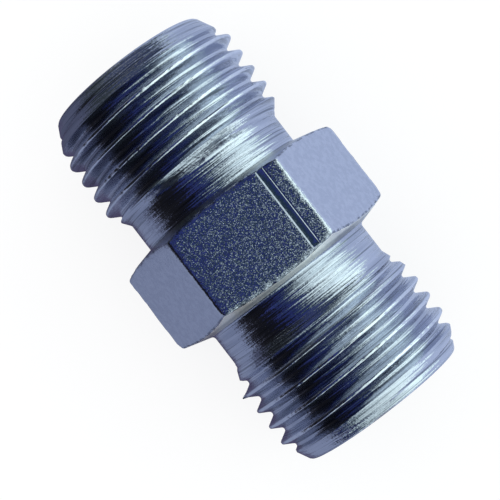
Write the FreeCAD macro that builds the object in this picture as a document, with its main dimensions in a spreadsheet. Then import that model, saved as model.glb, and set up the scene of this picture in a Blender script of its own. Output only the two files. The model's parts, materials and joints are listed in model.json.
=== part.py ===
"""Straight union fitting: a one-piece turned body with a hexagon in the middle.

The bore runs along X, and +Z is up. The origin is at the middle of the body, on the
bore's axis, and the body lies on one flat of its hexagon. The left end is the one at -X.
All lengths are in millimetres and all angles in degrees.
"""
import FreeCAD
import Part
import math
import os

import Sketcher
from FreeCAD import Vector

SIZES = [
    ("overall_length", "32", "face to face"),
    ("across_flats", "17", "hexagon, flat to flat"),
    ("hex_length", "8.1", "shoulder to shoulder, where they meet the necks"),
    ("shoulder_slope", "14", "lean of both turned shoulders from square"),
    ("thread_diameter", "16", "outside diameter of both threads"),
    ("lead_in_angle", "27", "chamfer at each end, from the axis"),
    ("left_lead_in_depth", "1.25", "left end face's edge, below the crests"),
    ("left_neck_depth", "1.075", "undercut between left thread and hexagon, below the crests"),
    ("left_neck_length", "2.4", "its straight stretch"),
    ("left_run_up_angle", "37", "cone from the left neck up to the thread"),
    ("right_lead_in_depth", "1.05", "right end face's edge, below the crests"),
    ("right_neck_depth", "0.9", "neck between hexagon and right thread, below the crests"),
    ("right_neck_length", "2.7", "its straight stretch"),
    ("right_run_up_angle", "22", "cone from the right neck up to the thread"),
    ("right_neck_fillet", "0.3", "radius where the neck meets the shoulder"),
    ("tube_diameter", "8", "outside diameter of the tube that seats in each end"),
    ("tube_clearance", "0.1", "socket larger than the tube, on the diameter"),
    ("tube_stop_depth", "7", "end face to the tube's stop"),
    ("cone_mouth_diameter", "10.1", "sealing cone at the end face"),
    ("cone_angle", "24", "included angle of the sealing cone"),
    ("bore_diameter", "5", "passage between the two tube stops"),
    ("drawn_line_width", "0.73", "shallow line along the top flat"),
    ("drawn_line_depth", "0.06", "its depth"),
    ("drawn_line_offset", "3.48", "its middle from the middle of the flat"),
    ("cutter_margin", "0.08", "how far a cutter runs past the metal that it removes"),
]

LEFT = -1
RIGHT = 1

CREST = "Sizes.thread_diameter / 2"


def fill_sheet(doc):
    """Write the driving sizes into a sheet, each with its own alias."""
    sheet = doc.addObject("Spreadsheet::Sheet", "Sizes")
    for row, (alias, value, meaning) in enumerate(SIZES, start=1):
        sheet.set(f"A{row}", value)
        sheet.setAlias(f"A{row}", alias)
        sheet.set(f"B{row}", meaning)
    doc.recompute()
    return sheet


def origin_part(body, role):
    """Return the body's own origin plane or axis that has this role."""
    return next(item for item in body.Origin.OriginFeatures if item.Role == role)


def plane_sketch(body, name, role):
    """Add an empty sketch on one of the body's origin planes."""
    sketch = body.newObject("Sketcher::SketchObject", name)
    sketch.AttachmentSupport = [(origin_part(body, role), "")]
    sketch.MapMode = "FlatFace"
    return sketch


def draw_outline(sketch, corners):
    """Draw a closed outline through corners that are given as expressions of the sizes.

    A corner is a pair. A third member is the radius of the arc, turning left, that leads
    on to the next corner in place of a straight line.
    """
    places = [Vector(*(float(sketch.evalExpression(text)) for text in corner[:2]), 0) for corner in corners]
    last = len(places) - 1
    for index, corner in enumerate(corners):
        start = places[index]
        end = places[0 if index == last else index + 1]
        if len(corner) == 3:
            sketch.addGeometry(left_arc(start, end, float(sketch.evalExpression(corner[2]))), False)
        else:
            sketch.addGeometry(Part.LineSegment(start, end), False)
    for index, corner in enumerate(corners):
        before = index - 1 if index else last
        sketch.addConstraint(Sketcher.Constraint("Coincident", index, 1, before, 2))
        bind(sketch, Sketcher.Constraint("DistanceX", -1, 1, index, 1, places[index].x), corner[0])
        bind(sketch, Sketcher.Constraint("DistanceY", -1, 1, index, 1, places[index].y), corner[1])
        if len(corner) == 3:
            radius = float(sketch.evalExpression(corner[2]))
            bind(sketch, Sketcher.Constraint("Radius", index, radius), corner[2])


def left_arc(start, end, radius):
    """Return the short arc of this radius that turns left from start to end."""
    chord = end - start
    side = Vector(-chord.y, chord.x, 0).normalize()
    centre = (start + end) / 2 + side * math.sqrt(radius ** 2 - (chord.Length / 2) ** 2)
    angles = [math.atan2(point.y - centre.y, point.x - centre.x) for point in (start, end)]
    return Part.ArcOfCircle(Part.Circle(centre, Vector(0, 0, 1), radius), *angles)


def bind(sketch, constraint, expression):
    """Add a dimension to a sketch and tie it to an expression of the sheet's sizes."""
    number = sketch.addConstraint(constraint)
    sketch.setExpression(f"Constraints[{number}]", expression)


def draw_circle(sketch, diameter):
    """Draw a circle round the sketch's origin, with its diameter given as an expression."""
    radius = float(sketch.evalExpression(diameter)) / 2
    circle = sketch.addGeometry(Part.Circle(Vector(0, 0, 0), Vector(0, 0, 1), radius), False)
    sketch.addConstraint(Sketcher.Constraint("Coincident", circle, 3, -1, 1))
    bind(sketch, Sketcher.Constraint("Diameter", circle, 2 * radius), diameter)


def turned_feature(body, kind, name, sketch):
    """Revolve a sketch round the bore's axis, as added or as removed material."""
    feature = body.newObject(kind, name)
    feature.Profile = sketch
    feature.ReferenceAxis = (sketch, ["H_Axis"])
    feature.Angle = 360
    return feature


def cut_checked(doc, body, feature):
    """Recompute, make this feature the body's tip and make sure that it removed material."""
    before = body.Shape.Volume
    body.Tip = feature
    doc.recompute()
    if not body.Shape.Volume < before:
        raise RuntimeError(f"{feature.Name} removes nothing")


def add_hexagon(doc, body):
    """Hexagonal bar, with one flat facing down and a corner at each side."""
    sketch = plane_sketch(body, "HexagonOutline", "YZ_Plane")
    corner = "Sizes.across_flats / (2 * cos(30))"
    half_corner = "Sizes.across_flats / (4 * cos(30))"
    flat = "Sizes.across_flats / 2"
    draw_outline(sketch, [
        (corner, "0"),
        (half_corner, flat),
        (f"-{half_corner}", flat),
        (f"-{corner}", "0"),
        (f"-{half_corner}", f"-{flat}"),
        (half_corner, f"-{flat}"),
    ])
    bar = body.newObject("PartDesign::Pad", "HexagonBar")
    bar.Profile = sketch
    bar.SideType = "Symmetric"
    bar.setExpression("Length", "Sizes.hex_length")
    body.Tip = bar
    doc.recompute()


def neck_radius(name):
    """Expression for the radius of one neck."""
    return f"({CREST} - Sizes.{name}_neck_depth)"


def end_outline(name, side):
    """Corners of one turned end, from its neck at the shoulder out to its face."""
    sign = "-" if side == LEFT else ""
    neck = neck_radius(name)
    face = f"{CREST} - Sizes.{name}_lead_in_depth"
    neck_end = f"Sizes.hex_length / 2 + Sizes.{name}_neck_length"
    run_up = f"Sizes.{name}_neck_depth / tan(Sizes.{name}_run_up_angle)"
    end = "Sizes.overall_length / 2"
    lead_in = f"Sizes.{name}_lead_in_depth / tan(Sizes.lead_in_angle)"
    return [
        (f"{sign}(Sizes.hex_length / 2)", neck),
        (f"{sign}({neck_end})", neck),
        (f"{sign}({neck_end} + {run_up})", CREST),
        (f"{sign}({end} - {lead_in})", CREST),
        (f"{sign}({end})", face),
        (f"{sign}({end})", "0"),
    ]


def add_turned_ends(doc, body):
    """Both barrels in one turned outline: necks, run-up cones, crests and lead-in chamfers."""
    sketch = plane_sketch(body, "TurnedOutline", "XZ_Plane")
    left = end_outline("left", LEFT)
    right = end_outline("right", RIGHT)
    draw_outline(sketch, list(reversed(left)) + right)
    body.Tip = turned_feature(body, "PartDesign::Revolution", "TurnedEnds", sketch)
    doc.recompute()


def cut_shoulder(doc, body, name, side):
    """Turn one side of the hexagon to a cone that rises from the neck to the corners."""
    sign = "-" if side == LEFT else ""
    sketch = plane_sketch(body, f"{name.title()}ShoulderOutline", "XZ_Plane")
    neck = neck_radius(name)
    outside = "Sizes.across_flats / (2 * cos(30)) + Sizes.cutter_margin"
    shoulder = "Sizes.hex_length / 2"
    drop = f"({outside} - {neck}) * tan(Sizes.shoulder_slope)"
    draw_outline(sketch, [
        (f"{sign}({shoulder})", neck),
        (f"{sign}({shoulder} - {drop})", outside),
        (f"{sign}({shoulder})", outside),
    ])
    cut_checked(doc, body, turned_feature(body, "PartDesign::Groove", f"{name.title()}Shoulder", sketch))


def round_right_neck(doc, body):
    """Fill the corner between the right neck and its shoulder to a radius."""
    sketch = plane_sketch(body, "RightNeckFilletOutline", "XZ_Plane")
    neck = neck_radius("right")
    radius = "Sizes.right_neck_fillet"
    slope = "Sizes.shoulder_slope"
    centre = f"Sizes.hex_length / 2 + {radius} * (1 - sin({slope})) / cos({slope})"
    on_shoulder = (f"{centre} - {radius} * cos({slope})", f"{neck} + {radius} * (1 - sin({slope}))")
    inside = f"{centre} - 2 * {radius}"
    draw_outline(sketch, [
        (*on_shoulder, radius),
        (centre, neck),
        (centre, f"{neck} - {radius}"),
        (inside, f"{neck} - {radius}"),
        (inside, on_shoulder[1]),
    ])
    body.Tip = turned_feature(body, "PartDesign::Revolution", "RightNeckFillet", sketch)
    doc.recompute()


def cut_bore(doc, body):
    """Drill the passage, then turn the sealing cone and tube socket in both ends."""
    passage = plane_sketch(body, "PassageOutline", "YZ_Plane")
    draw_circle(passage, "Sizes.bore_diameter")
    bore = body.newObject("PartDesign::Pocket", "Passage")
    bore.Profile = passage
    bore.SideType = "Symmetric"
    bore.setExpression("Length", "Sizes.overall_length + 2 * Sizes.cutter_margin")
    cut_checked(doc, body, bore)

    seat = plane_sketch(body, "TubeSeatOutline", "XZ_Plane")
    end = "Sizes.overall_length / 2"
    mouth = "Sizes.cone_mouth_diameter / 2"
    socket = "(Sizes.tube_diameter + Sizes.tube_clearance) / 2"
    cone_length = f"({mouth} - {socket}) / tan(Sizes.cone_angle / 2)"
    draw_outline(seat, [
        (f"-({end})", "0"),
        (f"-({end})", mouth),
        (f"-({end} - {cone_length})", socket),
        (f"-({end} - Sizes.tube_stop_depth)", socket),
        (f"-({end} - Sizes.tube_stop_depth)", "0"),
    ])
    left_seat = turned_feature(body, "PartDesign::Groove", "LeftTubeSeat", seat)
    cut_checked(doc, body, left_seat)

    right_seat = body.newObject("PartDesign::Mirrored", "RightTubeSeat")
    right_seat.Originals = [left_seat]
    right_seat.MirrorPlane = (origin_part(body, "YZ_Plane"), [""])
    cut_checked(doc, body, right_seat)


def cut_drawn_line(doc, body):
    """Shallow line that the bar's drawing die left along the top flat."""
    sketch = plane_sketch(body, "DrawnLineOutline", "XY_Plane")
    sketch.setExpression("AttachmentOffset.Base.z", "Sizes.across_flats / 2")
    half_length = "Sizes.hex_length / 2"
    inner = "Sizes.drawn_line_offset - Sizes.drawn_line_width / 2"
    outer = "Sizes.drawn_line_offset + Sizes.drawn_line_width / 2"
    draw_outline(sketch, [
        (f"-({half_length})", inner),
        (half_length, inner),
        (half_length, outer),
        (f"-({half_length})", outer),
    ])
    line = body.newObject("PartDesign::Pocket", "DrawnLine")
    line.Profile = sketch
    line.setExpression("Length", "Sizes.drawn_line_depth")
    cut_checked(doc, body, line)


def build_body(doc):
    """Build the whole fitting as one body, in the order that it is machined."""
    body = doc.addObject("PartDesign::Body", "UnionBody")
    body.Label = "union_body"
    add_hexagon(doc, body)
    add_turned_ends(doc, body)
    for name, side in (("left", LEFT), ("right", RIGHT)):
        cut_shoulder(doc, body, name, side)
    round_right_neck(doc, body)
    cut_bore(doc, body)
    cut_drawn_line(doc, body)
    return body


def check(doc, body):
    """Stop if any feature failed or the body isn't one valid solid."""
    failed = [item.Name for item in doc.Objects if {"Invalid", "Error"} & set(item.State)]
    if failed:
        raise RuntimeError(f"failed features: {', '.join(failed)}")
    shape = body.Shape
    if shape.isNull() or not shape.isValid() or len(shape.Solids) != 1:
        raise RuntimeError("the body is not one valid solid")


def main():
    """Build the fitting and write its solid."""
    doc = FreeCAD.newDocument("UnionFitting")
    fill_sheet(doc)
    body = build_body(doc)
    doc.recompute()
    check(doc, body)
    os.makedirs("parts", exist_ok=True)
    body.Shape.exportStep(f"parts/{body.Label}.step")
    box = body.Shape.BoundBox
    print(f"{body.Label}: {box.XLength:.2f} x {box.YLength:.2f} x {box.ZLength:.2f} mm,"
          f" {body.Shape.Volume:.1f} mm3, {len(body.Shape.Faces)} faces")


main()
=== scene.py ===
"""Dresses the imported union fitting: threads, hexagon, bores, zinc finish, floor, light and camera.

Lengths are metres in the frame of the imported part. X runs along the bore, Z stands square on the
flat that faces up, and the part lies on the opposite flat. Angles round the bore are measured
from Z towards Y.
"""

import json
import logging
import math
import random
from dataclasses import dataclass, replace
from enum import Enum
from typing import Callable

import bmesh
import bpy
from mathutils import Matrix, Vector, noise

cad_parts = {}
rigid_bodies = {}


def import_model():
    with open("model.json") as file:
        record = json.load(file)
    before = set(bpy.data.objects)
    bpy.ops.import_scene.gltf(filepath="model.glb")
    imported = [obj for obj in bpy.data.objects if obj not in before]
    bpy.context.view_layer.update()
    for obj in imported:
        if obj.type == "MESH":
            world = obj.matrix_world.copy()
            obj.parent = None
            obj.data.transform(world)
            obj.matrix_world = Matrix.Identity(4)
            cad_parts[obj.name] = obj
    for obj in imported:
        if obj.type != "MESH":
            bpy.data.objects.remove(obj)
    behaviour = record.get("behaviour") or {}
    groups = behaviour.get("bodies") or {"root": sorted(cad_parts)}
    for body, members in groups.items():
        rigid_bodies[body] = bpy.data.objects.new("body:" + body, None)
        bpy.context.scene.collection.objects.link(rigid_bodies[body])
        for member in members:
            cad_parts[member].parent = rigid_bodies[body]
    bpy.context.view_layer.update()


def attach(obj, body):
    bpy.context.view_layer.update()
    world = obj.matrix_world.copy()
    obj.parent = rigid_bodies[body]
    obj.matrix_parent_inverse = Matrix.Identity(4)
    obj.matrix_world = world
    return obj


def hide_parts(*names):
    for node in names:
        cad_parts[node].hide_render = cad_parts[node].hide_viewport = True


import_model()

log = logging.getLogger("union_fitting")

MM = 0.001
COLUMNS = 330
WELD = 0.0012 * MM
FINE_WELD = WELD / 10.0
SEED = 1603
FLATS = 6

Span = tuple[float, float]
Outline = list[Span]
Triple = tuple[float, float, float]
Colour = tuple[float, float, float, float]
Mesh = bmesh.types.BMesh
Face = bmesh.types.BMFace
Socket = bpy.types.NodeSocket


class End(Enum):
    """The two ends of the fitting, by their side of the X axis."""

    LEFT = -1
    RIGHT = 1


class Surface(Enum):
    """The finishes of the body, by their place in its list of materials."""

    TURNED = 0
    FLAT = 1
    BORE = 2
    EDGE = 3
    LINE = 4
    SHOULDER = 5
    # Shaded copy of the shoulder finish on the left shoulder: painted shade.
    SHADED_SHOULDER = 6


def angle_round_bore(point: Vector) -> float:
    """Gives a point's angle round the bore, from Z towards Y."""
    return math.atan2(point.y, point.z)


def point_round_bore(x: float, radius: float, angle: float) -> Vector:
    """Gives the point at a place along the bore, a radius and an angle round it."""
    return Vector((x, radius * math.sin(angle), radius * math.cos(angle)))


def spin_outline(
    bm: Mesh,
    outline: Outline,
    lead: float = 0.0,
    surface: Surface = Surface.TURNED,
    shape: Callable[[Vector], Vector] | None = None,
) -> None:
    """Turns an outline once round the bore's axis and adds the surface to a mesh.

    Args:
        bm: the mesh that takes the surface.
        outline: (x, radius) pairs along the surface.
        lead: how far the outline moves along X in its turn; zero closes the turn on itself.
        surface: the finish of the new faces.
        shape: moves each point of the surface after the turn.
    """
    turned = bmesh.new()
    verts = [turned.verts.new((x, 0.0, radius)) for x, radius in outline]
    edges = [turned.edges.new(pair) for pair in zip(verts, verts[1:])]
    bmesh.ops.spin(
        turned,
        geom=verts + edges,
        cent=(0.0, 0.0, 0.0),
        axis=(1.0, 0.0, 0.0),
        dvec=(lead / COLUMNS, 0.0, 0.0),
        angle=math.tau,
        steps=COLUMNS,
        use_merge=lead == 0.0,
    )
    for face in turned.faces:
        face.material_index = surface.value
    if shape:
        for vert in turned.verts:
            vert.co = shape(vert.co)
    part = bpy.data.meshes.new("turned_part")
    turned.to_mesh(part)
    turned.free()
    bm.from_mesh(part)
    bpy.data.meshes.remove(part)


def read_outline(outline: Outline, place: float) -> float:
    """Reads the radius of an outline between its points.

    Args:
        outline: (distance, radius) pairs in rising order of distance.
        place: the distance to read at.

    Returns:
        The radius there, or the nearest end's radius outside the outline.
    """
    if place <= outline[0][0]:
        return outline[0][1]
    for (start, low), (end, high) in zip(outline, outline[1:]):
        if place <= end:
            return low + (high - low) * (place - start) / (end - start)
    return outline[-1][1]


@dataclass(frozen=True)
class ThreadForm:
    """Metric fine thread of sixteen millimetres, as a rolled or cut crest and groove leave it."""

    pitch: float = 1.5 * MM
    half_form: tuple[Span, ...] = (
        (0.000, 8.000), (0.065, 7.994), (0.110, 7.966), (0.155, 7.902),
        (0.260, 7.722), (0.430, 7.428), (0.545, 7.238), (0.630, 7.160),
        (0.750, 7.140),
    )

    def outline(self, start: float, crest: float, end: float) -> Outline:
        """Repeats the form along X.

        Args:
            start: the outline reaches at least this low.
            crest: the place of any one crest.
            end: the outline reaches at least this high.

        Returns:
            (x, radius) pairs in rising order of x.
        """
        falling = [(x * MM, radius * MM) for x, radius in self.half_form]
        rising = [(self.pitch - x, radius) for x, radius in reversed(falling[:-1])]
        one_pitch = falling + rising[:-1]
        first = math.floor((start - crest) / self.pitch)
        last = math.ceil((end - crest) / self.pitch)
        points = [
            (crest + turn * self.pitch + x, radius)
            for turn in range(first, last)
            for x, radius in one_pitch
        ]
        return points + [(crest + last * self.pitch, falling[0][1])]


@dataclass(frozen=True)
class CrestMark:
    """A knock on a thread: metal pushed down, or up where the depth is negative."""

    x: float
    angle: float
    width: float
    depth: float
    length: float = 0.0
    fade_out: float = 6.0

    def push(self, x: float, radius: float, angle: float) -> float:
        """Gives the radius of a point after the knock.

        Args:
            x: the point's place along the bore.
            radius: its radius before the knock.
            angle: its angle round the bore.

        Returns:
            The radius after it.
        """
        turn = math.remainder(angle - self.angle, math.tau) * radius
        reach = max(abs(turn) - self.length / 2, 0.0)
        distance = ((x - self.x) ** 2 + reach**2) / self.width**2
        if distance > self.fade_out:
            return radius
        return radius - self.depth * math.exp(-distance)


@dataclass(frozen=True)
class KnockedCrests:
    """The small knocks that crests pick up in a bin; their spans are in millimetres."""

    draw: random.Random
    count: int = 420
    most_turns: int = 8
    off_crest: float = 0.06 * MM
    widths: Span = (0.05, 0.09)
    depths: Span = (0.008, 0.032)
    lengths: Span = (0.0, 0.3)
    sectors: int = 60
    lowest_radius: float = 7.7 * MM

    def scatter(self, crest_x: float, pitch: float, low: float, high: float) -> list[CrestMark]:
        """Draws knocks along the crests of one thread.

        Args:
            crest_x: where a crest crosses the upper line of the thread.
            pitch: the thread's pitch.
            low: the threaded stretch's lower end.
            high: its upper end.

        Returns:
            The knocks.
        """
        marks = []
        while len(marks) < self.count:
            angle = self.draw.uniform(-math.pi, math.pi)
            turn = self.draw.randint(-self.most_turns, self.most_turns) - angle / math.tau
            x = crest_x + turn * pitch + self.draw.gauss(0.0, self.off_crest)
            spans = (self.widths, self.depths, self.lengths)
            mark = CrestMark(x, angle, *(self.draw.uniform(*span) * MM for span in spans))
            if low < x < high:
                marks.append(mark)
        return marks

    def by_sector(self, marks: list[CrestMark]) -> dict[int, list[CrestMark]]:
        """Sorts knocks by their sector of the turn, each into its neighbours' too.

        Args:
            marks: the knocks.

        Returns:
            The knocks to try in each sector.
        """
        sorted_marks = {sector: [] for sector in range(self.sectors)}
        for mark in marks:
            home = self.sector(mark.angle)
            for sector in (home - 1, home, home + 1):
                sorted_marks[sector % self.sectors].append(mark)
        return sorted_marks

    def sector(self, angle: float) -> int:
        """Gives the sector of the turn that an angle falls in."""
        return int((angle / math.tau) % 1.0 * self.sectors) % self.sectors


@dataclass(frozen=True)
class ThreadedEnd:
    """One end of the body outside the hexagon: neck, run-up, thread, lead-in and face rim."""

    end: End
    crest_x: float
    neck_radius: float
    neck_length: float
    run_up_slope: float
    lead_in_x: float
    rim_radius: float
    rim_break: float
    shoulder_fillet: float
    shoulder_x: float = 4.05 * MM
    face_x: float = 16.0 * MM
    crest_radius: float = 8.0 * MM
    weld_x: float = 6.2 * MM
    unmarked: float = 0.25 * MM
    form: ThreadForm = ThreadForm()
    burrs: tuple[CrestMark, ...] = ()

    def blank(self) -> Outline:
        """Gives the outline that was turned before the thread was cut.

        Returns:
            (distance from the middle, radius) pairs.
        """
        run_up_x = self.shoulder_x + self.neck_length
        rise = self.crest_radius - self.neck_radius
        return [
            (self.shoulder_x, self.neck_radius),
            (run_up_x, self.neck_radius),
            (run_up_x + rise / math.tan(self.run_up_slope), self.crest_radius),
            (self.lead_in_x, self.crest_radius),
            (self.face_x - self.rim_break, self.rim_radius),
            (self.face_x, self.rim_radius - self.rim_break),
        ]

    def build(self, bm: Mesh) -> None:
        """Makes the neck and the threaded barrel."""
        self.turn_neck(bm)
        self.cut_thread(bm)

    def turn_neck(self, bm: Mesh) -> None:
        """Turns the neck from the hexagon's shoulder to the start of the threaded barrel.

        Args:
            bm: the mesh of the whole body.
        """
        side = self.end.value
        start = self.shoulder_x + self.shoulder_fillet
        outline = [(start, self.neck_radius), (self.weld_x, self.neck_radius)]
        spin_outline(bm, [(side * x, radius) for x, radius in outline])

    def cut_thread(self, bm: Mesh) -> None:
        """Turns the thread as a helix and trims it to the turned blank.

        Args:
            bm: the mesh of the whole body.
        """
        side = self.end.value
        low, high = sorted((side * self.weld_x, side * (self.face_x - self.rim_break)))
        outline = self.form.outline(low - self.form.pitch, self.crest_x, high)
        blank = self.blank()
        knocks = KnockedCrests(random.Random(SEED + side))
        full = sorted((side * (blank[2][0] + self.unmarked), side * self.lead_in_x))
        scattered = knocks.scatter(self.crest_x, self.form.pitch, *full)
        marks = knocks.by_sector([*scattered, *self.burrs])

        def trim(place: Vector) -> Vector:
            """Keeps a point of the helix inside the blank and gives it the knocks.

            Args:
                place: the point.

            Returns:
                Its new place.
            """
            x = min(max(place.x, low), high)
            angle = angle_round_bore(place)
            radius = min(math.hypot(place.y, place.z), read_outline(blank, abs(x)))
            if low < x < high and radius > knocks.lowest_radius:
                for mark in marks[knocks.sector(angle)]:
                    radius = mark.push(x, radius, angle)
            return point_round_bore(x, radius, angle)

        spin_outline(bm, outline, lead=self.form.pitch, shape=trim)
        spin_outline(bm, [(side * x, radius) for x, radius in blank[-2:]])


@dataclass(frozen=True)
class DrawnLine:
    """The shallow line that a tool left along the upper flat."""

    centre: float = 3.48 * MM
    end_x: float = 3.42 * MM
    fade: float = 0.2 * MM
    section: tuple[Span, ...] = (
        (-0.385, 0.0), (-0.365, 0.002), (-0.275, 0.046), (-0.255, 0.048),
        (0.175, 0.052), (0.195, 0.048), (0.230, 0.005), (0.250, 0.006),
        (0.290, 0.028), (0.310, 0.028), (0.365, 0.0),
    )

    def profile(self) -> Outline:
        """Gives the line's section across the flat, as (place, depth) pairs."""
        return [(self.centre + y * MM, depth * MM) for y, depth in self.section]

    def cuts(self) -> list[float]:
        """Gives the places across the flat where the section turns."""
        return [y for y, _ in self.profile()]

    def depth_at(self, y: float, x: float = 0.0) -> float:
        """Reads how deep the line is at a place across the flat and along it."""
        left = min(max((self.end_x - x) / self.fade, 0.0), 1.0)
        return left * read_outline(self.profile(), y)


@dataclass(frozen=True)
class Dent:
    """A knock on the hexagon that pushes metal towards the middle of the body."""

    place: Vector
    reach: float
    depth: float
    fade_out: float = 2.5

    def push(self, point: Vector) -> Vector:
        """Moves a point of the surface inwards where the knock reaches it.

        Args:
            point: the point before the knock.

        Returns:
            The point after it.
        """
        distance = (point - self.place).length / self.reach
        if distance > self.fade_out:
            return point
        return point - self.place.normalized() * self.depth * math.exp(-(distance**2))


@dataclass(frozen=True)
class HexCollar:
    """The hexagon between the two necks; its dents, nicks and scars are in millimetres."""

    across_flats: float = 17.0 * MM
    half_length: float = 4.05 * MM
    shoulder_slope: float = math.radians(14.0)
    left_neck_radius: float = 6.925 * MM
    right_neck_radius: float = 7.1 * MM
    right_fillet: float = 0.3 * MM
    blank_radius: float = 9.9 * MM
    edge_break: float = 0.13 * MM
    edge_wear: float = 0.05 * MM
    wear_level: float = 0.3
    wear_waves: tuple[Span, ...] = ((2.9, 1.0), (0.8, 0.7))
    grid_step: float = 0.26 * MM
    knocked_rim: float = 0.4 * MM
    corner_x: Span = (-3.4, 3.45)
    corner_dent: tuple[Span, Span] = ((0.2, 0.32), (0.06, 0.15))
    arc_nicks: int = 46
    arc_nick: tuple[Span, Span] = ((0.12, 0.25), (0.03, 0.08))
    scar_reach: float = 0.19
    line: DrawnLine = DrawnLine()
    nicks: tuple[Triple, ...] = (
        (68.0, 0.16, 0.07), (75.0, 0.17, 0.10), (81.0, 0.15, 0.08),
        (87.0, 0.18, 0.10), (-84.0, 0.18, 0.10), (-90.0, 0.22, 0.16),
    )
    scars: tuple[Triple, ...] = (
        (2.75, 4.45, 0.09), (3.05, 4.25, 0.12), (3.3, 4.0, 0.08), (2.45, 4.62, 0.07),
    )

    def build(self, bm: Mesh) -> None:
        """Turns the collar's blank and mills the six flats.

        Args:
            bm: the mesh of the whole body.
        """
        outline = self.blank()
        # The left shoulder takes the shaded copy of the shoulder finish, painted shade; the right
        # one takes the lit copy.
        spin_outline(bm, outline[:3], surface=Surface.SHADED_SHOULDER)
        spin_outline(bm, outline[2:4], surface=Surface.SHOULDER)
        spin_outline(bm, outline[3:])
        bmesh.ops.remove_doubles(bm, verts=bm.verts, dist=FINE_WELD)
        flats = self.mill_flats(bm)
        self.break_edges(bm, flats)
        self.cut_across(bm)
        self.grid_flats(bm)
        self.draw_line(bm)
        self.wear_edges(bm)
        self.knock_corners(bm)

    def blank(self) -> Outline:
        """Gives the turned blank of the collar.

        Returns:
            (x, radius) pairs from the left neck to the right one.
        """
        slope = math.tan(self.shoulder_slope)
        left_drop = (self.blank_radius - self.left_neck_radius) * slope
        right_drop = (self.blank_radius - self.right_neck_radius) * slope
        fillet = [
            (
                self.half_length + self.right_fillet * (1.0 - math.cos(math.radians(turn))),
                self.right_neck_radius + self.right_fillet * (1.0 - math.sin(math.radians(turn))),
            )
            for turn in (15.0, 40.0, 65.0, 90.0)
        ]
        return [
            (-self.half_length, self.left_neck_radius),
            (left_drop - self.half_length, self.blank_radius),
            (self.half_length - right_drop, self.blank_radius),
            *fillet,
        ]

    def mill_flats(self, bm: Mesh) -> list[Face]:
        """Cuts the six flats and closes each with a face.

        Args:
            bm: the mesh of the collar.

        Returns:
            The flats' faces.
        """
        for turn in range(FLATS):
            normal = self.flat_normal(turn)
            cut = bmesh.ops.bisect_plane(
                bm,
                geom=[*bm.verts, *bm.edges, *bm.faces],
                dist=FINE_WELD,
                plane_co=normal * (self.across_flats / 2),
                plane_no=normal,
                clear_outer=True,
            )
            rim = [e for e in cut["geom_cut"] if isinstance(e, bmesh.types.BMEdge)]
            for face in bmesh.ops.edgeloop_fill(bm, edges=rim)["faces"]:
                face.material_index = Surface.FLAT.value
        return [f for f in bm.faces if f.material_index == Surface.FLAT.value]

    def flat_normal(self, turn: int) -> Vector:
        """Gives the outward direction of one flat, counted round the bore from the upper one."""
        return Matrix.Rotation(turn * math.tau / FLATS, 3, "X") @ Vector((0.0, 0.0, 1.0))

    def break_edges(self, bm: Mesh, flats: list[Face]) -> None:
        """Rounds the edges round the flats a little.

        Args:
            bm: the mesh of the collar.
            flats: the flats' faces.
        """
        made = bmesh.ops.bevel(
            bm,
            geom=list(dict.fromkeys(e for f in flats for e in f.edges)),
            offset=self.edge_break,
            offset_type="OFFSET",
            segments=2,
            profile=0.5,
            affect="EDGES",
            clamp_overlap=True,
            material=-1,
        )
        for face in made["faces"]:
            face.material_index = Surface.EDGE.value

    def cut_across(self, bm: Mesh) -> None:
        """Cuts the whole collar square to the bore into narrow rings of faces.

        Args:
            bm: the mesh of the collar.
        """
        along = math.ceil(self.half_length / self.grid_step)
        for step in range(1 - along, along):
            bmesh.ops.bisect_plane(
                bm,
                geom=[*bm.verts, *bm.edges, *bm.faces],
                dist=FINE_WELD,
                plane_co=(step * self.grid_step, 0.0, 0.0),
                plane_no=(1.0, 0.0, 0.0),
            )

    def grid_flats(self, bm: Mesh) -> None:
        """Cuts the flats lengthways, which leaves them in small squares.

        Args:
            bm: the mesh of the collar.
        """
        half_side = self.across_flats / 2 / math.sqrt(3.0)
        across = math.ceil(half_side / self.grid_step)
        for turn in range(FLATS):
            normal = self.flat_normal(turn)
            sideways = Vector((1.0, 0.0, 0.0)).cross(normal)
            offsets = [step * self.grid_step for step in range(1 - across, across)]
            if turn == 0:
                clear = [y for y in offsets if self.line.depth_at(-y) == 0.0]
                offsets = [*clear, *(-y for y in self.line.cuts())]
            faces = self.flat_faces(bm, normal)
            for y in offsets:
                edges = dict.fromkeys(e for f in faces for e in f.edges)
                verts = dict.fromkeys(v for f in faces for v in f.verts)
                made = bmesh.ops.bisect_plane(
                    bm,
                    geom=[*verts, *edges, *faces],
                    dist=FINE_WELD,
                    plane_co=sideways * y,
                    plane_no=sideways,
                )
                faces = [f for f in made["geom"] if isinstance(f, Face)]

    def flat_faces(self, bm: Mesh, normal: Vector) -> list[Face]:
        """Gathers the faces of one flat.

        Args:
            bm: the mesh of the collar.
            normal: the flat's outward direction.

        Returns:
            Its faces, without the broken edges.
        """
        limit = self.across_flats / 2 - WELD
        flats = (f for f in bm.faces if f.material_index == Surface.FLAT.value)
        return [f for f in flats if f.calc_center_median().dot(normal) > limit]

    def draw_line(self, bm: Mesh) -> None:
        """Presses the drawn line into the upper flat.

        Args:
            bm: the mesh of the collar.
        """
        upper = self.flat_faces(bm, self.flat_normal(0))
        low, *_, high = self.line.cuts()
        for face in upper:
            middle = face.calc_center_median()
            if low < middle.y < high and middle.x < self.line.end_x:
                face.material_index = Surface.LINE.value
        for vert in {v for f in upper for v in f.verts}:
            vert.co.z -= self.line.depth_at(vert.co.y, vert.co.x)

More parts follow.
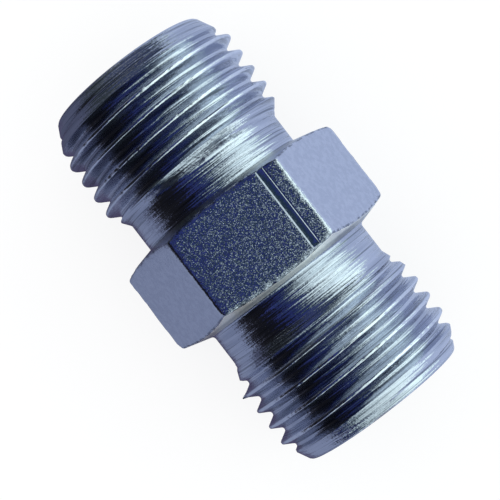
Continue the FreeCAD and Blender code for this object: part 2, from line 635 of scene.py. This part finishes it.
    def wear_edges(self, bm: Mesh) -> None:
        """Wears the broken edges unevenly.

        Args:
            bm: the mesh of the collar.
        """
        bmesh.ops.recalc_face_normals(bm, faces=bm.faces)
        bm.normal_update()
        worn = {v for f in bm.faces if f.material_index == Surface.EDGE.value for v in f.verts}
        moves = {}
        for vert in worn:
            amount = self.wear_level
            for per_mm, share in self.wear_waves:
                amount += share * noise.noise(vert.co / MM * per_mm)
            moves[vert] = vert.normal * (self.edge_wear * max(amount, 0.0))
        for vert, move in moves.items():
            vert.co -= move

    def arc_place(self, angle: float, side: float) -> Vector:
        """Finds the point where a flat meets a shoulder.

        Args:
            angle: the angle round the bore.
            side: one for the right shoulder, minus one for the left.

        Returns:
            The point.
        """
        reach = self.across_flats / 2 / math.cos(math.remainder(angle, math.tau / FLATS))
        slope = math.tan(self.shoulder_slope)
        x = self.half_length - (reach - self.left_neck_radius) * slope
        return point_round_bore(side * x, reach, angle)

    def knock_corners(self, bm: Mesh) -> None:
        """Dents the twelve corners of the hexagon, and nicks its arcs here and there.

        Args:
            bm: the mesh of the collar.
        """
        draw = random.Random(SEED)
        radius = self.across_flats / math.sqrt(3.0)
        dents = []

        def add_dent(place: Vector, sizes: tuple[Span, Span]) -> None:
            """Draws the reach and depth of a dent, and adds it."""
            dents.append(Dent(place, *(draw.uniform(*span) * MM for span in sizes)))

        for turn in range(FLATS):
            angle = math.radians(30.0 + 60.0 * turn)
            for x in self.corner_x:
                add_dent(point_round_bore(x * MM, radius, angle), self.corner_dent)
        for _ in range(self.arc_nicks):
            angle = draw.uniform(-math.pi, math.pi)
            add_dent(self.arc_place(angle, draw.choice((-1.0, 1.0))), self.arc_nick)
        for degrees, reach, depth in self.nicks:
            place = self.arc_place(math.radians(degrees), 1.0)
            dents.append(Dent(place, reach * MM, depth * MM))
        normal = self.flat_normal(-1)
        sideways = normal.cross(Vector((1.0, 0.0, 0.0)))
        for x, aside, depth in self.scars:
            place = normal * (self.across_flats / 2) + sideways * (aside * MM)
            place.x += x * MM
            dents.append(Dent(place, self.scar_reach * MM, depth * MM))
        for vert in bm.verts:
            if math.hypot(vert.co.y, vert.co.z) > self.across_flats / 2 - self.knocked_rim:
                for dent in dents:
                    vert.co = dent.push(vert.co)


@dataclass(frozen=True)
class TubeSocket:
    """The inside of one end: sealing cone, tube seat and the step down to the passage."""

    end: End
    rim_radius: float
    rim_break: float
    mouth_radius: float = 5.05 * MM
    seat_radius: float = 4.05 * MM
    passage_radius: float = 2.5 * MM
    face_x: float = 16.0 * MM
    cone_end_x: float = 11.295 * MM
    seat_end_x: float = 9.0 * MM
    mouth_break: float = 0.08 * MM

    def build(self, bm: Mesh) -> None:
        """Turns the end face and the bores behind it.

        Args:
            bm: the mesh of the whole body.
        """
        side = self.end.value
        face = [
            (self.face_x, self.rim_radius - self.rim_break),
            (self.face_x, self.mouth_radius + self.mouth_break),
            (self.face_x - self.mouth_break, self.mouth_radius),
        ]
        spin_outline(bm, [(side * x, radius) for x, radius in face])
        bore = [
            (self.face_x - self.mouth_break, self.mouth_radius),
            (self.cone_end_x, self.seat_radius),
            (self.seat_end_x, self.seat_radius),
            (self.seat_end_x, self.passage_radius),
            (0.0, self.passage_radius),
        ]
        outline = [(side * x, radius) for x, radius in bore]
        spin_outline(bm, outline, surface=Surface.BORE)


@dataclass(frozen=True)
class NodeKit:
    """Adds nodes to one tree; numbers and output sockets both serve as their inputs."""

    tree: bpy.types.NodeTree
    end_face_span: Span = (15.86 * MM, 15.9 * MM)
    radius_share: float = 0.35

    @classmethod
    def clear(cls, owner: bpy.types.Material | bpy.types.World) -> "NodeKit":
        """Gives a material or a world an empty tree of nodes.

        Args:
            owner: the material or world.
        """
        owner.use_nodes = True
        owner.node_tree.nodes.clear()
        return cls(owner.node_tree)

    def add(
        self, kind: str, settings: dict[str, object] | None = None, **values: object
    ) -> bpy.types.Node:
        """Adds a node and sets it up.

        Args:
            kind: the node's type, without ShaderNode in front.
            settings: its own properties, by name.
            values: its inputs, by name with low lines for spaces, or by number after an i.

        Returns:
            The new node.
        """
        node = self.tree.nodes.new("ShaderNode" + kind)
        for name, value in (settings or {}).items():
            setattr(node, name, value)
        for name, value in values.items():
            by_number = name[0] == "i" and name[1:].isdigit()
            key = int(name[1:]) if by_number else name.replace("_", " ")
            if isinstance(value, Socket):
                self.tree.links.new(value, node.inputs[key])
            else:
                node.inputs[key].default_value = value
        return node

    def math(self, operation: str, *values: object) -> Socket:
        """Adds a Math node and gives its result."""
        inputs = {f"i{place}": value for place, value in enumerate(values)}
        return self.add("Math", {"operation": operation}, **inputs).outputs[0]

    def scaled(self, value: Socket, factor: object, plus: object) -> Socket:
        """Adds a value times a factor, plus another value."""
        return self.math("MULTIPLY_ADD", value, factor, plus)

    def vector(self, operation: str, **values: object) -> Socket:
        """Adds a Vector Math node and gives its result."""
        return self.add("VectorMath", {"operation": operation}, **values).outputs[0]

    def place(self, source: str = "Object") -> Socket:
        """Adds the place on the object, or another kind of place by its name."""
        return self.add("TexCoord").outputs[source]

    def axes(self, source: str = "Object") -> list[Socket]:
        """Adds such a place as its X, Y and Z."""
        return list(self.add("SeparateXYZ", Vector=self.place(source)).outputs)

    def noise(
        self, place: Socket, scale: object, detail: float, roughness: float = 0.5
    ) -> Socket:
        """Adds noise from zero to one."""
        values = {"Vector": place, "Scale": scale, "Detail": detail, "Roughness": roughness}
        return self.add("TexNoise", **values).outputs[0]

    def bump(self, height: Socket, depth: float, **normal: Socket) -> Socket:
        """Adds a bump of some depth, over another normal where one is given."""
        values = {"Height": height, "Distance": depth, "Strength": 1.0}
        return self.add("Bump", **values, **normal).outputs[0]

    def step(self, value: Socket, low: object, high: object) -> Socket:
        """Adds a soft step, which is zero at the low value and one at the high."""
        inputs = {"Value": value, "From_Min": low, "From_Max": high}
        return self.add("MapRange", {"interpolation_type": "SMOOTHSTEP"}, **inputs).outputs[0]

    def mix(self, factor: object, first: object, second: object) -> Socket:
        """Adds a mix of two colours, which is the second where the factor is one."""
        inputs = {"i0": factor, "i6": first, "i7": second}
        return self.add("Mix", {"data_type": "RGBA"}, **inputs).outputs[2]

    def radius(self, y: Socket, z: Socket) -> Socket:
        """Adds the distance from the bore's axis."""
        squared = self.math("ADD", self.math("MULTIPLY", y, y), self.math("MULTIPLY", z, z))
        return self.math("SQRT", squared)

    def outline(self, per_metre: float, drift: float) -> tuple[Socket, Socket]:
        """Adds a place that changes fast along the turned outline and slowly round the bore.

        Args:
            per_metre: how fast it changes along the outline.
            drift: how fast it changes round the bore.

        Returns:
            The place, and a mask of the two end faces.
        """
        x, y, z = self.axes()
        face = self.step(self.math("ABSOLUTE", x), *self.end_face_span)
        share = self.scaled(face, 1.0 - self.radius_share, self.radius_share)
        along = self.scaled(self.radius(y, z), share, x)
        place = self.add("CombineXYZ", X=along, Y=y, Z=z).outputs[0]
        return self.vector("MULTIPLY", i0=place, i1=(per_metre, drift, drift)), face


class ShaderGroup:
    """A shared effect: a group of nodes with named inputs and outputs."""

    name = "shared_effect"
    floats_in: tuple[str, ...] = ()
    floats_out: tuple[str, ...] = ()
    leans_normal = False

    def __init__(self) -> None:
        """Makes the group's sockets and then its nodes."""
        self.tree = bpy.data.node_groups.new(self.name, "ShaderNodeTree")
        self.kit = NodeKit(self.tree)
        normal = ("Normal",) if self.leans_normal else ()
        for side, floats in (("INPUT", self.floats_in), ("OUTPUT", self.floats_out)):
            for name in (*floats, *normal):
                kind = "NodeSocketVector" if name in normal else "NodeSocketFloat"
                self.tree.interface.new_socket(name, in_out=side, socket_type=kind)
        self.given = self.tree.nodes.new("NodeGroupInput").outputs
        self.asked = self.tree.nodes.new("NodeGroupOutput").inputs
        self.wire()

    def wire(self) -> None:
        """Makes the nodes between the group's inputs and outputs."""

    def give(self, name: str, value: Socket) -> None:
        """Links a value to one of the group's outputs."""
        self.tree.links.new(value, self.asked[name])

    def lean_normal(self, lean: Socket) -> None:
        """Leans the given normal and gives it out."""
        leaned = self.kit.vector("ADD", i0=self.given["Normal"], i1=lean)
        self.give("Normal", self.kit.vector("NORMALIZE", i0=leaned))

    def place(self, kit: NodeKit, **values: object) -> bpy.types.Node:
        """Places the group in a material with values of its own."""
        return kit.add("Group", {"node_tree": self.tree}, **values)


class TurningMarks(ShaderGroup):
    """Fine rings that the turning tool left round the bore's axis."""

    name = "turning_marks"
    floats_out = ("Height", "Streaks", "Score shade")
    rings_per_metre = 6.5 / MM
    drift = 0.35 / MM
    broad_scale = 0.31
    score_stretch = (1.7, 0.25, 0.25)
    score_span = (0.55, 0.68)

    def wire(self) -> None:
        """Stretches noise round the axis, so that it varies along X and along the radius."""
        kit = self.kit
        rings, _ = kit.outline(self.rings_per_metre, self.drift)
        self.give("Height", kit.noise(rings, 1.0, 3.0, 0.6))
        self.give("Streaks", kit.noise(rings, self.broad_scale, 1.0))
        # Score lines: thin broken rings, used only to lay painted groove shade in the base colour.
        lines = kit.vector("MULTIPLY", i0=rings, i1=self.score_stretch)
        self.give("Score shade", kit.step(kit.noise(lines, 1.0, 1.0), *self.score_span))


class ToolChatter(ShaderGroup):
    """Uneven lean of each turning mark, as a chattering tool leaves it."""

    name = "tool_chatter"
    floats_in = ("Lean",)
    leans_normal = True
    marks_per_metre = 9.0 / MM
    drift = 0.16 / MM
    calm_side = (-4.5 * MM, -0.5 * MM)
    calm_share = 0.35
    face_calm = 0.85

    def wire(self) -> None:
        """Leans the normal round the bore's axis by an amount that changes from mark to mark."""
        kit = self.kit
        marks, face = kit.outline(self.marks_per_metre, self.drift)
        centred = kit.math("SUBTRACT", kit.noise(marks, 1.0, 2.0, 0.6), 0.5)
        _, y, z = kit.axes()
        side = kit.step(y, *self.calm_side)
        growth = kit.scaled(side, 1.0 - self.calm_share, self.calm_share)
        off_face = kit.scaled(face, -self.face_calm, 1.0)
        grown = kit.math("MULTIPLY", growth, off_face)
        amount = kit.math("MULTIPLY", self.given["Lean"], grown)
        lean = kit.math("MULTIPLY", centred, amount)
        per_radius = kit.math("DIVIDE", lean, kit.radius(y, z))
        back = kit.math("MULTIPLY", y, -1.0)
        round_axis = kit.add("CombineXYZ", Y=z, Z=back).outputs[0]
        step = kit.vector("SCALE", i0=round_axis, Scale=per_radius)
        settings = {"vector_type": "VECTOR", "convert_from": "OBJECT", "convert_to": "WORLD"}
        self.lean_normal(kit.add("VectorTransform", settings, Vector=step).outputs[0])


class FacetGrain(ShaderGroup):
    """Fine crystals of the zinc, each leaning its own way."""

    name = "facet_grain"
    floats_in = ("Crystals per metre", "Lean")
    leans_normal = True

    def wire(self) -> None:
        """Leans the normal by a random amount that is the same all over one crystal."""
        kit = self.kit
        scale = self.given["Crystals per metre"]
        cells = kit.add("TexVoronoi", Vector=kit.place(), Scale=scale).outputs["Color"]
        centred = kit.vector("SUBTRACT", i0=cells, i1=(0.5, 0.5, 0.5))
        self.lean_normal(kit.vector("SCALE", i0=centred, Scale=self.given["Lean"]))


class MicroGrain(ShaderGroup):
    """Fine unevenness of the plated face."""

    name = "micro_grain"
    floats_out = ("Height", "Patches")
    grains_per_metre = 8.0 / MM
    patches_per_metre = 2400.0
    patch_span = (0.4, 0.62)

    def wire(self) -> None:
        """Makes a fine height and a broader mask of lighter patches."""
        kit = self.kit
        place = kit.place()
        self.give("Height", kit.noise(place, self.grains_per_metre, 2.0, 0.6))
        broad = kit.noise(place, self.patches_per_metre, 4.0)
        self.give("Patches", kit.step(broad, *self.patch_span))


class EdgeWear(ShaderGroup):
    """Plating rubbed bright at a radius from the bore's axis and beyond; on the right shoulder the
    same step lays a painted highlight.
    """

    name = "edge_wear"
    floats_in = ("Start radius", "Full radius")
    floats_out = ("Mask",)
    patches_per_metre = 900.0
    unevenness = 0.12 * MM

    def wire(self) -> None:
        """Reads the radius and makes a soft step of it, broken up by noise."""
        kit = self.kit
        _, y, z = kit.axes()
        patches = kit.noise(kit.place(), self.patches_per_metre, 3.0)
        centred = kit.math("SUBTRACT", patches, 0.5)
        shifted = kit.scaled(centred, self.unevenness, kit.radius(y, z))
        self.give("Mask", kit.step(shifted, *(self.given[name] for name in self.floats_in)))


@dataclass(frozen=True)
class SharedEffects:
    """The effects that the finishes of the body share."""

    rings: TurningMarks
    chatter: ToolChatter
    facets: FacetGrain
    grain: MicroGrain
    wear: EdgeWear


@dataclass(frozen=True)
class ZincFinish:
    """Bright zinc plate over a turned or drawn steel face."""

    name: str
    colour: Colour
    shade: Colour
    worn: Colour
    roughness: float
    grain_depth: float
    ring_depth: float = 0.0
    metallic: float = 1.0
    # Share and colour of the painted groove shade along the score lines.
    score_shade_share: float = 0.0
    score_groove_shade: Colour = (0.06, 0.08, 0.11, 1.0)
    streak_span: Span = (0.38, 0.62)
    tool_lean: float = 0.0
    facet_lean: float = 0.0
    facets_per_mm: float = 9.0
    wear_start: float = 7.9 * MM
    wear_full: float = 8.0 * MM

    def build(self, effects: SharedEffects) -> bpy.types.Material:
        """Makes the material.

        Args:
            effects: the shared effects.

        Returns:
            The finished material.
        """
        material = bpy.data.materials.new(self.name)
        kit = NodeKit.clear(material)
        grains = effects.grain.place(kit)
        radii = {"Start radius": self.wear_start, "Full radius": self.wear_full}
        rubbed = effects.wear.place(kit, **radii)
        normal = kit.bump(grains.outputs["Height"], self.grain_depth)
        patches = grains.outputs["Patches"]
        if self.ring_depth:
            marks = effects.rings.place(kit)
            patches = kit.step(marks.outputs["Streaks"], *self.streak_span)
            normal = kit.bump(marks.outputs["Height"], self.ring_depth, Normal=normal)
        if self.tool_lean:
            leaned = effects.chatter.place(kit, Lean=self.tool_lean, Normal=normal)
            normal = leaned.outputs["Normal"]
        if self.facet_lean:
            values = {"Crystals per metre": self.facets_per_mm / MM, "Lean": self.facet_lean}
            normal = effects.facets.place(kit, Normal=normal, **values).outputs["Normal"]
        plated = kit.mix(patches, self.shade, self.colour)
        # Painted groove shade: the score lines darken the plating to near black where fine grooves
        # would mirror the dark bands of light.
        if self.score_shade_share:
            score_shade = kit.math("MULTIPLY", marks.outputs["Score shade"], self.score_shade_share)
            plated = kit.mix(score_shade, plated, self.score_groove_shade)
        shader = kit.add(
            "BsdfPrincipled",
            Base_Color=kit.mix(rubbed.outputs["Mask"], plated, self.worn),
            Metallic=self.metallic,
            Roughness=self.roughness,
            Normal=normal,
        )
        kit.add("OutputMaterial", Surface=shader.outputs[0])
        return material


def add_object(bm: Mesh, name: str) -> bpy.types.Object:
    """Turns a finished mesh into an object of the scene, at the origin.

    Args:
        bm: the mesh, which is used up.
        name: the object's name.

    Returns:
        The object.
    """
    mesh = bpy.data.meshes.new(name)
    bm.to_mesh(mesh)
    bm.free()
    made = bpy.data.objects.new(name, mesh)
    bpy.context.scene.collection.objects.link(made)
    return made


@dataclass(frozen=True)
class UnionBody:
    """The whole fitting, one closed piece of plated steel."""

    ends: tuple[ThreadedEnd, ...]
    sockets: tuple[TubeSocket, ...]
    collar: HexCollar
    sharp_angle: float = math.radians(32.0)

    def build(self) -> bpy.types.Object:
        """Makes the mesh of the body.

        Returns:
            The body's object, at the origin.
        """
        bm = bmesh.new()
        self.collar.build(bm)
        for part in (*self.ends, *self.sockets):
            part.build(bm)
        bmesh.ops.remove_doubles(bm, verts=bm.verts, dist=WELD)
        bmesh.ops.dissolve_degenerate(bm, edges=bm.edges, dist=WELD / 4)
        bmesh.ops.recalc_face_normals(bm, faces=bm.faces)
        for face in bm.faces:
            face.smooth = True
        open_edges = sum(1 for edge in bm.edges if not edge.is_manifold)
        log.info("body: %d faces, %d edges left open", len(bm.faces), open_edges)
        body = add_object(bm, "union_body_visual")
        body.data.set_sharp_from_angle(angle=self.sharp_angle)
        return body

    def dress(self, body: bpy.types.Object) -> None:
        """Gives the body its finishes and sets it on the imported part.

        Args:
            body: the body's object.
        """
        effects = SharedEffects(
            TurningMarks(), ToolChatter(), FacetGrain(), MicroGrain(), EdgeWear()
        )
        zinc = (0.58, 0.61, 0.70, 1.0)
        shade = (0.46, 0.49, 0.58, 1.0)
        worn = (0.72, 0.75, 0.82, 1.0)
        turned = ZincFinish(
            name="turned_zinc",
            colour=zinc,
            shade=shade,
            worn=worn,
            roughness=0.15,
            ring_depth=0.03 * MM,
            grain_depth=0.01 * MM,
            score_shade_share=0.6,
            tool_lean=1.15,
            facet_lean=0.1,
        )
        flat = ZincFinish(
            name="grained_zinc",
            colour=zinc,
            shade=(0.52, 0.55, 0.64, 1.0),
            worn=worn,
            roughness=0.12,
            grain_depth=0.004 * MM,
            facet_lean=0.29,
            facets_per_mm=19.0,
            wear_start=9.6 * MM,
            wear_full=9.8 * MM,
        )
        edge = replace(
            flat,
            name="rubbed_edge_zinc",
            shade=(0.22, 0.24, 0.29, 1.0),
            roughness=0.2,
            grain_depth=0.015 * MM,
            facet_lean=0.18,
            facets_per_mm=9.0,
            wear_full=9.9 * MM,
        )
        line = replace(
            flat,
            name="drawn_line_zinc",
            shade=(0.53, 0.56, 0.65, 1.0),
            roughness=0.1,
            facet_lean=0.04,
            facets_per_mm=9.0,
        )
        # Lit finish of the right shoulder: its worn colour, laid from 8.0 mm out, is a painted
        # highlight along the outer rim as well as rubbed plating.
        shoulder = ZincFinish(
            name="faced_lit_shoulder_zinc",
            colour=(0.58, 0.59, 0.58, 1.0),
            shade=(0.34, 0.35, 0.37, 1.0),
            worn=(0.95, 0.94, 0.89, 1.0),
            roughness=0.28,
            ring_depth=0.012 * MM,
            grain_depth=0.02 * MM,
            metallic=0.7,
            facet_lean=0.2,
            wear_start=8.0 * MM,
            wear_full=8.7 * MM,
        )
        # Shaded copy for the left shoulder: painted shade, with no rim highlight and no diffuse
        # share.
        shaded_shoulder = replace(shoulder, name="shaded_shoulder_zinc", worn=shade, metallic=1.0)
        bore = ZincFinish(
            name="bore_zinc",
            colour=(0.42, 0.44, 0.52, 1.0),
            shade=(0.30, 0.32, 0.40, 1.0),
            worn=(0.42, 0.44, 0.52, 1.0),
            roughness=0.28,
            ring_depth=0.012 * MM,
            grain_depth=0.002 * MM,
            tool_lean=0.15,
        )
        for finish in (turned, flat, bore, edge, line, shoulder, shaded_shoulder):
            body.data.materials.append(finish.build(effects))
        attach(body, "root")
        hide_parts("union_body")


@dataclass(frozen=True)
class Studio:
    """The plain pale floor, the soft light and the camera.

    The floor's first four colours are what the zinc mirrors of it, and the floor gives them off as a
    glow of its own: painted shade on the left side, darker still towards the left end, a painted
    shadow close to the part on that side, and a lit right side. The last two are what the camera
    sees. The bands of light are (degrees from straight above, colour) pairs. They shift and are
    squeezed where the light comes from the left or right, and waver along X; a waver is how fast
    it changes and how far it goes, in radians.
    """

    floor_z: float = -8.5 * MM
    floor_side: float = 2.0
    # Painted shade and shadow in the floor's mirrored glow: darker on the left side, towards the
    # left end and close to the part; the right side is the lit one.
    floor_shade_left: Colour = (0.145, 0.165, 0.235, 1.0)
    floor_shade_left_end: Colour = (0.06, 0.065, 0.10, 1.0)
    floor_shadow_close: Colour = (0.05, 0.045, 0.085, 1.0)
    floor_lit_right: Colour = (0.295, 0.335, 0.44, 1.0)
    floor_paint: Colour = (0.22, 0.22, 0.22, 1.0)
    floor_glow: Colour = (0.80, 0.80, 0.805, 1.0)
    left_end_x: Span = (-17.0 * MM, -4.0 * MM)
    floor_shadow_y: Span = (-16.0 * MM, -9.5 * MM)
    right_y: Span = (-6.0 * MM, 6.0 * MM)
    far_light: Colour = (0.12, 0.15, 0.155, 1.0)
    face_light: Colour = (0.36, 0.38, 0.40, 1.0)
    bands: tuple[tuple[float, Triple], ...] = (
        (-104.0, (0.27, 0.31, 0.44)), (-91.0, (0.20, 0.22, 0.31)),
        (-83.0, (0.03, 0.03, 0.04)), (-62.0, (0.010, 0.010, 0.012)),
        (-32.0, (0.012, 0.013, 0.022)), (-25.0, (0.04, 0.055, 0.24)),
        (-16.0, (0.035, 0.05, 0.19)), (-6.0, (0.020, 0.042, 0.062)),
        (2.0, (0.034, 0.060, 0.086)), (20.0, (0.72, 0.86, 0.85)),
        (40.0, (1.20, 1.42, 1.36)), (60.0, (1.60, 1.93, 1.82)),
        (78.0, (0.84, 1.02, 1.02)), (100.0, (0.65, 0.78, 0.97)),
    )
    lean: float = 0.45
    left_step: Span = (0.0, 0.14)
    left_shift: float = -0.24
    left_squeeze: float = -0.15
    right_step: Span = (0.5, 0.8)
    right_shift: float = 0.14
    right_squeeze: float = -0.12
    end_step: Span = (0.35, 0.8)
    end_squeeze: float = -0.34
    far_step: Span = (0.45, 0.8)
    far_share: float = 0.42
    face_step: Span = (0.94, 0.99)
    wavers: tuple[Span, ...] = ((5.0, 0.25), (37.0, 0.15))
    waver_start: float = 2.3
    camera_place: Triple = (3.3996 * MM, 3.9524 * MM, 112.634 * MM)
    camera_right: Triple = (0.61053, 0.79045, -0.04936)
    camera_up: Triple = (-0.79158, 0.61104, -0.00597)
    lens: float = 105.5
    sensor: float = 36.0
    seen_from: float = 5.0 * MM
    seen_to: float = 10.0

    def build(self) -> None:
        """Makes the floor, the light and the camera."""
        self.lay_floor()
        self.light()
        self.set_camera()
        view = bpy.context.scene.view_settings
        view.view_transform = "Standard"
        view.look = "None"

    def lay_floor(self) -> None:
        """Lays the floor under the part."""
        bm = bmesh.new()
        bmesh.ops.create_grid(bm, x_segments=4, y_segments=4, size=self.floor_side)
        bmesh.ops.translate(bm, verts=bm.verts, vec=(0.0, 0.0, self.floor_z))
        floor = add_object(bm, "floor")
        material = bpy.data.materials.new("pale_floor")
        floor.data.materials.append(material)
        kit = NodeKit.clear(material)
        seen = kit.add("LightPath").outputs["Is Camera Ray"]
        x, y, _ = kit.axes()
        near = kit.step(x, *self.left_end_x)
        close = kit.step(y, *self.floor_shadow_y)
        side = kit.step(y, *self.right_y)
        # Rays other than the camera's see the floor glow with painted shade on the left, darker
        # towards the left end, and a painted shadow close to the part.
        left_floor_shade = kit.mix(near, self.floor_shade_left_end, self.floor_shade_left)
        shaded = kit.mix(close, left_floor_shade, self.floor_shadow_close)
        mirrored = kit.mix(side, shaded, self.floor_lit_right)
        colour = kit.mix(seen, mirrored, self.floor_paint)
        glow = kit.mix(seen, mirrored, self.floor_glow)
        paint = kit.add("BsdfDiffuse", Color=colour).outputs[0]
        lit = kit.add("Emission", Color=glow, Strength=1.0).outputs[0]
        both = kit.add("AddShader", i0=paint, i1=lit).outputs[0]
        kit.add("OutputMaterial", Surface=both)

    def light(self) -> None:
        """Sets the light round the part as soft bands about its axis."""
        world = bpy.data.worlds.new("studio")
        bpy.context.scene.world = world
        kit = NodeKit.clear(world)
        x, y, z = kit.axes("Generated")
        minus_x = kit.math("MULTIPLY", x, -1.0)
        steep = kit.math("ABSOLUTE", x)
        left = kit.step(minus_x, *self.left_step)
        right = kit.step(x, *self.right_step)
        leaned = kit.scaled(x, self.lean, y)
        raised = kit.scaled(right, self.right_shift, leaned)
        tilt = kit.scaled(left, self.left_shift, raised)
        ends_in = kit.scaled(kit.step(steep, *self.end_step), self.end_squeeze, 1.0)
        left_in = kit.scaled(left, self.left_squeeze, ends_in)
        squeeze = kit.scaled(right, self.right_squeeze, left_in)
        turn = kit.math("MULTIPLY", kit.math("ARCTAN2", tilt, z), squeeze)
        for per_unit, amount in self.wavers:
            along = kit.scaled(x, per_unit, self.waver_start)
            settings = {"noise_dimensions": "1D"}
            uneven = kit.add("TexNoise", settings, W=along, Scale=1.0, Detail=2.0).outputs[0]
            turn = kit.math("ADD", turn, kit.scaled(uneven, 2.0 * amount, -amount))
        share = kit.scaled(turn, 1.0 / math.tau, 0.5)
        bands = kit.add("ValToRGB", i0=share)
        self.set_bands(bands.color_ramp)
        dimmed = kit.math("MULTIPLY", kit.step(minus_x, *self.far_step), self.far_share)
        ends = kit.mix(dimmed, bands.outputs[0], self.far_light)
        colour = kit.mix(kit.step(steep, *self.face_step), ends, self.face_light)
        rays = kit.add("LightPath").outputs
        plain = kit.math("MAXIMUM", rays["Is Camera Ray"], rays["Is Diffuse Ray"])
        shown = kit.mix(plain, colour, (1.0, 1.0, 1.0, 1.0))
        light = kit.add("Background", Color=shown, Strength=1.0)
        kit.add("OutputWorld", Surface=light.outputs[0])

    def set_bands(self, ramp: bpy.types.ColorRamp) -> None:
        """Sets the colour of the light by its angle round the bore's axis.

        Args:
            ramp: the colour ramp, where a half is straight above.
        """
        ramp.interpolation = "LINEAR"
        for angle, _ in self.bands[2:]:
            ramp.elements.new(angle / 360.0 + 0.5)
        for element, (angle, colour) in zip(ramp.elements, self.bands):
            element.position = angle / 360.0 + 0.5
            element.color = (*colour, 1.0)

    def set_camera(self) -> None:
        """Sets the camera at the photograph's viewing angle."""
        data = bpy.data.cameras.new("camera")
        data.lens = self.lens
        data.sensor_width = self.sensor
        data.clip_start = self.seen_from
        data.clip_end = self.seen_to
        camera = bpy.data.objects.new("camera", data)
        bpy.context.scene.collection.objects.link(camera)
        right = Vector(self.camera_right).normalized()
        up = Vector(self.camera_up)
        up = (up - right * up.dot(right)).normalized()
        turned = Matrix((right, up, right.cross(up))).transposed().to_4x4()
        camera.matrix_world = Matrix.Translation(self.camera_place) @ turned
        bpy.context.scene.camera = camera


def make_body() -> UnionBody:
    """Names the sizes of the two ends and gathers the body.

    Returns:
        The body, ready to build.
    """
    left = ThreadedEnd(
        end=End.LEFT,
        crest_x=-8.56 * MM,
        neck_radius=6.925 * MM,
        neck_length=2.4 * MM,
        run_up_slope=math.radians(37.0),
        lead_in_x=13.55 * MM,
        rim_radius=6.8 * MM,
        rim_break=0.12 * MM,
        shoulder_fillet=0.0,
    )
    right = ThreadedEnd(
        end=End.RIGHT,
        crest_x=8.87 * MM,
        neck_radius=7.1 * MM,
        neck_length=2.7 * MM,
        run_up_slope=math.radians(22.0),
        lead_in_x=13.94 * MM,
        rim_radius=6.98 * MM,
        rim_break=0.1 * MM,
        shoulder_fillet=0.3 * MM,
        burrs=(
            CrestMark(9.27 * MM, math.radians(-91.0), 0.14 * MM, -0.42 * MM),
            CrestMark(9.4 * MM, math.radians(-80.0), 0.16 * MM, 0.2 * MM, 0.5 * MM),
        ),
    )
    sockets = tuple(
        TubeSocket(end=part.end, rim_radius=part.rim_radius, rim_break=part.rim_break)
        for part in (left, right)
    )
    return UnionBody(ends=(left, right), sockets=sockets, collar=HexCollar())


def main() -> None:
    """Builds the body and then the studio, and reports each piece."""
    logging.basicConfig(level=logging.INFO, format="%(message)s")
    body = make_body()
    piece = body.build()
    body.dress(piece)
    log.info("%s built", piece.name)
    Studio().build()
    log.info("floor, light and camera set")


if __name__ == "__main__":
    main()
